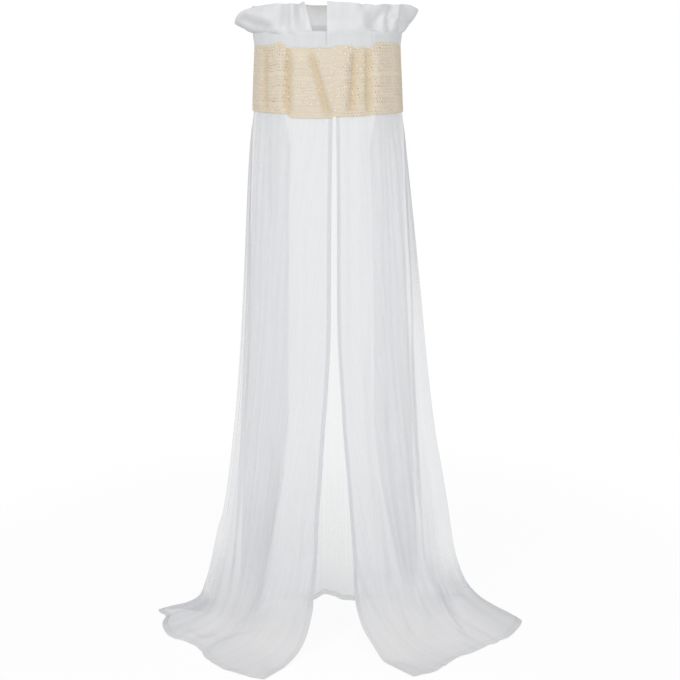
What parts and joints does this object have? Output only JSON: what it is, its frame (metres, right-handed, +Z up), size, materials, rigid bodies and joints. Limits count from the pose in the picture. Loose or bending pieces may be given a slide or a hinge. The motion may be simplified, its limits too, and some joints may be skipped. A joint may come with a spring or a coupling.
{
  "type": "bed crown canopy",
  "caption": "Wall-hung bed crown canopy: oval hoop on a wall arm, gathered heading with ruffle, crochet band and a parted sheer voile drape that spreads on the floor.",
  "frame": {"origin": "middle of the wall plate's back face, on the wall, level with the hoop", "axes": "+Z up, +Y into the wall, -Y towards the viewer in front of the parted drape, +X to the viewer's right"},
  "size_m": [0.963, 0.4681, 1.5669],
  "materials": {
    "powder_coat": "white powder coat, satin",
    "zinc_steel": "bright zinc plated steel",
    "voile_heading": "doubled white cotton voile, gathered",
    "voile": "single sheer white cotton voile, crinkled",
    "crochet": "cream cotton crochet lace with small sequins"
  },
  "bodies": {
    "crown": {"wall_plate": "powder_coat", "support_arm": "powder_coat", "rear_tee": "zinc_steel", "tee_screw": "zinc_steel", "plate_screw": "zinc_steel", "hoop_left": "zinc_steel", "hoop_right": "zinc_steel", "front_spigot": "zinc_steel", "hoop_casing": "voile_heading", "ruffle": "voile_heading", "lace_band": "crochet", "back_drape": "voile"},
    "left_curtain": {"left_curtain": "voile"},
    "right_curtain": {"right_curtain": "voile"}
  },
  "joints": [
    {"name": "left_curtain_swing", "type": "hinge", "parent": "crown", "child": "left_curtain", "pos_m": [-0.1765, -0.17, -0.1776], "axis": [-0.0454, 0.0076, -0.9989], "range_deg": [0, 20]},
    {"name": "right_curtain_swing", "type": "hinge", "parent": "crown", "child": "right_curtain", "pos_m": [0.1765, -0.17, -0.1776], "axis": [-0.0454, -0.0076, 0.9989], "range_deg": [0, 20]}
  ]
}
